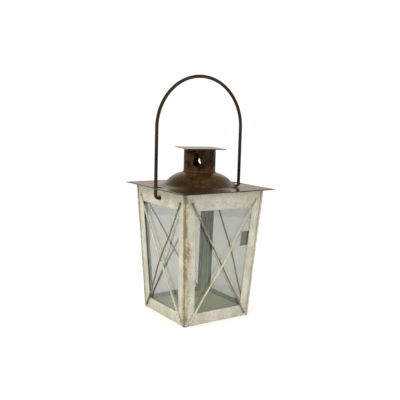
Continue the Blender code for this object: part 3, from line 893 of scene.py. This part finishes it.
def makeRoof():
    sides, wall, hem = roofLook["sides"], roofLook["wall"], roofLook["hem"]
    foot, curve = domeCurve()
    directions = [(x, y) for x, y, _ in circleRing(1, 0, sides)]

    def plateHeight(x, y, base):
        # hand-pressed sheet is never quite flat past the walls that carry it
        outside = max(0.0, max(abs(x), abs(y)) - foot) / (roofHalf - foot)
        return base + roofLook["wave"] * outside * smoothNoise((x, y, 0), roofLook["waveSize"], 8.0)

    def ridge(radius):
        return roofLook["ridge"] * hump(radius - foot + wall, roofLook["ridgeWidth"])

    def plateRing(inset, share, base, lift=0.0):
        # part of the way from the dome's round foot to the square eave
        ring = []
        for x, y in directions:
            reach = foot + (squareReach(x, y, roofHalf - inset) - foot) * share
            ring.append((x * reach, y * reach, plateHeight(x * reach, y * reach, base) + lift))
        return ring

    upper, lower = [], []
    for i, (radius, height) in enumerate(curve):
        before, after = curve[max(i - 1, 0)], curve[min(i + 1, len(curve) - 1)]
        tilt = math.atan2(before[1] - after[1], after[0] - before[0])
        upper.append(circleRing(radius, height + ridge(radius), sides))
        lower.append(circleRing(radius - wall * math.sin(tilt), height - wall * math.cos(tilt), sides))
    for share in spread(0, 1, roofLook["plateSteps"])[1:]:
        upper.append(plateRing(hem, share, plateTop))
        lower.append(plateRing(hem, share, roofUnder))
    eave = [
        plateRing(hem * (1 - math.cos(angle)), 1, roofUnder + wall / 2, wall / 2 * math.sin(angle))
        for angle in spread(math.pi / 2, -math.pi / 2, 6)[1:-1]
    ]
    roof = placeObject("roofSheet", ringMesh("roof", upper + eave + lower[::-1], closed=True))
    cutFrom(roof, handleSlots(foot))
    roundEdges(roof, roofLook["edgeRound"], angle=55)

    def wearAndShade(co):
        # painted shade: darker along the eave's edge
        edge = fade(roofHalf - max(abs(co.x), abs(co.y)), 0.0012)
        radius = math.hypot(co.x, co.y)
        ring = hump(radius - foot, 0.002)
        shoulder = hump(radius - roofLook["shoulder"], roofLook["shoulderWidth"])
        shoulder *= 0.5 + smoothNoise(co, 0.02, 3.0)
        plate = 1.0 if radius > foot + 0.001 else 0.0
        return 0.3 * ring + 0.3 * shoulder - 0.25 * edge - 0.2 * plate

    finishPiece(roof, roofBronze, "roof", ["roof_plate"], wearAndShade, seed=50.0)


chimneyLook = {
    "sides": 96,
    "rows": 26,
    "wall": 0.0008,
    "solderHeight": 0.0011,
    "solderWidth": 0.0009,
    "rimRound": 0.0004,
    "seat": 0.003,         # how far the tube's foot stands down inside the dome
    "solderGap": 0.0001,
    "ventTip": 0.0018,     # radius of the teardrop's upper round
    "ventRound": 0.00016,
}


def ventOutline():
    # a teardrop round two circles, from the CAD tube's vent that faces the back right corner
    turn = Matrix.Rotation(-math.pi / 4, 4, "Z")
    spots = [turn @ p for p in nodePoints("chimney")]
    vent = [p for p in spots if chimneyLow.z + 0.004 < p.z < chimneyHigh.z - 0.002
            and p.x > 0 and abs(p.y) < 0.009]
    lowRadius, highRadius = max(abs(p.y) for p in vent), chimneyLook["ventTip"]
    lowCentre, highCentre = min(p.z for p in vent) + lowRadius, max(p.z for p in vent) - highRadius
    lean = math.asin((lowRadius - highRadius) / (highCentre - lowCentre))
    outline = arc((0, highCentre), highRadius, lean, math.pi - lean, 10)
    return outline + arc((0, lowCentre), lowRadius, math.pi - lean, math.tau + lean, 22)


def makeChimney():
    sides, wall = chimneyLook["sides"], chimneyLook["wall"]
    low, high = chimneyLow.z, chimneyHigh.z
    crown, gap = low + chimneyLook["seat"], chimneyLook["solderGap"]
    radius, rim, swollen = tubeRadius, chimneyLook["rimRound"], chimneyLook["solderHeight"]
    rings = [circleRing(radius, low, sides), circleRing(radius, crown + gap, sides)]
    for angle in spread(0, math.pi / 2, 4):
        out = chimneyLook["solderWidth"] * (1 - math.sin(angle))
        height = crown + 2 * gap + swollen * (1 - math.cos(angle))
        ring = []
        for x, y, _ in circleRing(1, 0, sides):
            reach = radius + out * (1 + 0.25 * smoothNoise((x, y, 0), 0.35, 4.0))
            ring.append((x * reach, y * reach, height))
        rings.append(ring)
    profile = [(radius, z) for z in spread(crown + 2 * gap + swollen, high - rim, chimneyLook["rows"])[1:]]
    for angle in spread(0, math.pi, 6)[1:-1]:
        profile.append((radius - wall / 2 + wall / 2 * math.cos(angle), high - rim + rim * math.sin(angle)))
    profile += [(radius - wall, z) for z in spread(high - rim, low, chimneyLook["rows"])]
    rings += [circleRing(reach, height, sides) for reach, height in profile]
    tube = placeObject("chimneyTube", ringMesh("chimney", rings, closed=True))
    outline, reach = ventOutline(), radius + cutClear
    ends = [[(u, y, z) for u, z in outline] for y in (-reach, reach)]
    # each cutter passes right through, so two of them make the four vents
    cutFrom(tube, [
        (ringMesh("vents", ends), Matrix.Rotation(turn * math.pi / 4, 4, "Z")) for turn in (1, 3)
    ])
    roundEdges(tube, chimneyLook["ventRound"], angle=55)

    def wearAndShade(co):
        foot, top = fade(co.z - crown, 0.003), fade(high - co.z, 0.001)
        return 0.5 * foot + 0.4 * top + 0.25 * max(0.0, smoothNoise(co, 0.012, 6.0))

    finishPiece(tube, chimneyBronze, "roof", ["chimney"], wearAndShade, seed=51.0)


capLook = {"cornerRadius": 0.0012, "bow": 0.00012, "rings": (0.04, 0.2, 0.4, 0.6, 0.8, 0.93)}


def makeCap():
    points = nodePoints("chimney_cap")
    low, high = (spot.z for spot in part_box("chimney_cap"))
    farthest = max((p for p in points if p.y > 0 and p.x > 0), key=lambda p: p.xy.length)
    half = farthest.xy.length / math.sqrt(2)
    yaw = math.atan2(farthest.y, farthest.x) - math.pi / 4
    radius, middle, thick = capLook["cornerRadius"], (low + high) / 2, (high - low) / 2

    def bowed(x, y, z):
        # the sheet droops a little towards its corners, and is never quite flat
        out = math.hypot(x, y) / half
        uneven = smoothNoise((x, y, 0), 0.03, 12.0) * min(1.0, out)
        return x, y, z + capLook["bow"] * (uneven - max(0.0, out - 0.8))

    rings = [roundedSquare(half * share, radius * share, high) for share in capLook["rings"]]
    for angle in spread(math.pi / 2, -math.pi / 2, 6):
        side = half - thick + thick * math.cos(angle)
        rings.append(roundedSquare(side, radius, middle + thick * math.sin(angle)))
    rings += [roundedSquare(half * share, radius * share, low) for share in reversed(capLook["rings"])]
    mesh = ringMesh("cap", [[bowed(*spot) for spot in ring] for ring in rings])
    cap = placeObject("chimneyCap", mesh, Matrix.Rotation(yaw, 4, "Z"))

    def wearAndShade(co):
        # painted shade: darker along the cut edge
        return -0.3 * fade(half - max(abs(co.x), abs(co.y)), 0.001)

    finishPiece(cap, roofBronze, "roof", ["chimney_cap"], wearAndShade, seed=52.0)


makeRoof()
makeChimney()
makeCap()
print("roof made")


# ---- handle

handleLook = {
    "sides": 20,
    "pitch": 0.0022,
    "unevenness": 0.00002,
    "hookBend": 0.0050,
    "tipBend": 0.0040,
    "tipSteps": (0.0015, 0.0011, 0.0006),   # heights over the tip's bend
    "filed": 0.0012,
}


def makeHandle():
    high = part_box("handle_wire")[1]
    radius = high.y
    legX = high.x - radius
    spring = high.z - radius - legX
    # the hooks' ends, well in from the legs and close to the pivot
    tips = [p for p in nodePoints("handle_wire") if abs(p.x) < legX - 0.008 and p.z < pivotHeight + 0.01]
    tipX = min(abs(p.x) for p in tips) + radius
    bend, tipBend = handleLook["hookBend"], handleLook["tipBend"]
    half = [(tipX, pivotHeight + tipBend + rise) for rise in handleLook["tipSteps"]]
    half += arc((tipX + tipBend, pivotHeight + tipBend), tipBend, math.pi, 1.5 * math.pi, 10)
    half += arc((legX - bend, pivotHeight + bend), bend, 1.5 * math.pi, math.tau, 12)
    legSteps = round((spring - pivotHeight - bend) / handleLook["pitch"])
    half += [(legX, z) for z in spread(pivotHeight + bend, spring, legSteps)[1:-1]]
    archSteps = round(math.pi * legX / handleLook["pitch"])
    outline = half + arc((0, spring), legX, 0, math.pi, archSteps) + [(-x, z) for x, z in reversed(half)]

    def profile(distance, whole):
        width = radius - handleLook["unevenness"] * (1 + smoothNoise((distance, 0, 0), 0.012, 2.0))
        filed = endRounding(distance, whole, handleLook["filed"])
        return width * filed, width * filed

    mesh = tubeMesh("handle", [(x, 0, z) for x, z in outline], profile, handleLook["sides"])
    handle = placeObject("handleWire", mesh)

    def wearAndShade(co):
        # hands polish the crown, and the slots rub the legs
        grip = max(0.0, (co.z - spring) / legX)
        slot = hump(co.z - plateTop, 0.004)
        knee = hump(co.z - spring, 0.02)
        return min(1.0, 0.25 * grip + 0.35 * slot + 0.3 * knee)

    finishPiece(handle, wireBronze, "handle", ["handle_wire"], wearAndShade, seed=60.0)


makeHandle()
print("handle made")


# ---- studio

studio = {
    "floor": "#fbfbf9",
    "floorRadius": 0.75,
    "floorSides": 64,
    "sky": 1.06,
    "domeHorizon": 0.52,    # what lights the matt pieces, brighter overhead
    "domeTop": 1.75,
    "glossTint": "#fff3e4",
    "glossHorizon": 0.54,   # what polished pieces mirror: a bright wall behind, a dimmer room in front
    "glossRoom": 0.10,
    "glossTop": 0.16,
    "key": {"power": 5.5, "size": 0.5, "azimuth": -75.0, "elevation": 42.0},
    "fill": {"power": 1.0, "size": 0.8, "azimuth": 5.0, "elevation": 30.0},
    "lampDistance": 1.5,
    "aimHeight": 0.12,
}
lens = {
    "azimuth": -34.55,
    "elevation": 8.38,
    "distance": 0.8055,
    "lookAt": (0.00162, -0.00111, 0.14962),
    "roll": 1.65,
    "focal": 55.33,   # mm on a 36 mm sensor
}


def direction(azimuth, elevation):
    a, e = math.radians(azimuth), math.radians(elevation)
    return Vector((math.sin(a) * math.cos(e), -math.cos(a) * math.cos(e), math.sin(e)))


def makeFloor():
    # matt paper with a faint fibre
    material, tree = newMaterial("floorPaperMatt")
    spot = addNode(tree, "TexCoord").outputs["Object"]
    fibre = addNode(tree, "TexNoise", {"Vector": spot, "Scale": perMetre(3.0), "Detail": 3.0})
    bump = addNode(tree, "Bump", {"Height": fibre, "Strength": 0.05, "Distance": 0.0002})
    addOutput(tree, addNode(tree, "BsdfPrincipled", {
        "Base Color": studio["floor"], "Roughness": 0.9, "Specular IOR Level": 0.1, "Normal": bump}))
    ring = circleRing(studio["floorRadius"], 0, studio["floorSides"])
    floor = placeObject("floor", meshFrom("floor", ring, [range(len(ring))]))
    floor.data.materials.append(material)


def makeLight(name):
    light = bpy.data.lights.new(name, "AREA")
    light.shape = "DISK"
    light.size = studio[name]["size"]
    light.energy = studio[name]["power"]
    lamp = bpy.data.objects.new(name, light)
    bpy.context.scene.collection.objects.link(lamp)
    back = direction(studio[name]["azimuth"], studio[name]["elevation"])
    lamp.location = Vector((0, 0, studio["aimHeight"])) + back * studio["lampDistance"]
    lamp.rotation_euler = back.to_track_quat("Z", "Y").to_euler()


def makeWorld():
    world = bpy.data.worlds.new("softbox")
    bpy.context.scene.world = world
    world.use_nodes = True
    tree = world.node_tree
    tree.nodes.clear()
    place = addNode(tree, "TexCoord").outputs["Generated"]
    height = addNode(tree, "SeparateXYZ", {0: place}).outputs["Z"]
    # what polished pieces mirror
    wall = addNode(tree, "VectorMath", {0: place, 1: tuple(-direction(lens["azimuth"], 0))},
                   operation="DOT_PRODUCT")
    wallShare = addNode(tree, "MapRange", {
        "Value": wall, "From Min": -0.2, "From Max": 0.75, "To Min": studio["glossRoom"],
        "To Max": studio["glossHorizon"]}, interpolation_type="SMOOTHSTEP")
    topShare = addNode(tree, "MapRange", {"Value": height, "From Min": 0.3, "From Max": 0.8},
                       interpolation_type="SMOOTHSTEP")
    gloss = addNode(tree, "Mix", {"Factor": topShare, 2: wallShare, 3: studio["glossTop"]})
    # what lights the matt pieces, and what is seen behind the lantern and through its panes
    dome = addNode(tree, "MapRange", {"Value": height, "To Min": studio["domeHorizon"],
                                      "To Max": studio["domeTop"]})
    ray = addNode(tree, "LightPath").outputs
    seen = addNode(tree, "Math", {0: ray["Is Camera Ray"], 1: ray["Is Transmission Ray"]},
                   operation="MAXIMUM")
    plain = addNode(tree, "Mix", {"Factor": seen, 2: dome, 3: studio["sky"]})
    mirrored = addNode(tree, "Math", {0: ray["Is Glossy Ray"], 1: ray["Is Transmission Ray"]},
                       operation="SUBTRACT", use_clamp=True)
    strength = addNode(tree, "Mix", {"Factor": mirrored, 2: plain, 3: gloss})
    colour = addNode(tree, "Mix", {"Factor": mirrored, 6: "#ffffff", 7: studio["glossTint"]},
                     data_type="RGBA")
    background = addNode(tree, "Background", {"Color": colour, "Strength": strength})
    addNode(tree, "OutputWorld", {"Surface": background})


def makeCamera():
    camera = bpy.data.cameras.new("camera")
    camera.lens = lens["focal"]
    camera.sensor_width = 36.0
    camera.clip_start = 0.01
    holder = bpy.data.objects.new("camera", camera)
    bpy.context.scene.collection.objects.link(holder)
    back = direction(lens["azimuth"], lens["elevation"])
    across = Vector((0, 0, 1)).cross(back).normalized()
    upward = back.cross(across)
    roll = math.radians(lens["roll"])
    right = across * math.cos(roll) + upward * math.sin(roll)
    top = upward * math.cos(roll) - across * math.sin(roll)
    place = Vector(lens["lookAt"]) + back * lens["distance"]
    holder.matrix_world = Matrix.Translation(place) @ Matrix((right, top, back)).transposed().to_4x4()
    bpy.context.scene.camera = holder


makeFloor()
makeWorld()
makeLight("key")
makeLight("fill")
makeCamera()
bpy.context.scene.view_settings.view_transform = "Standard"
print("studio made")
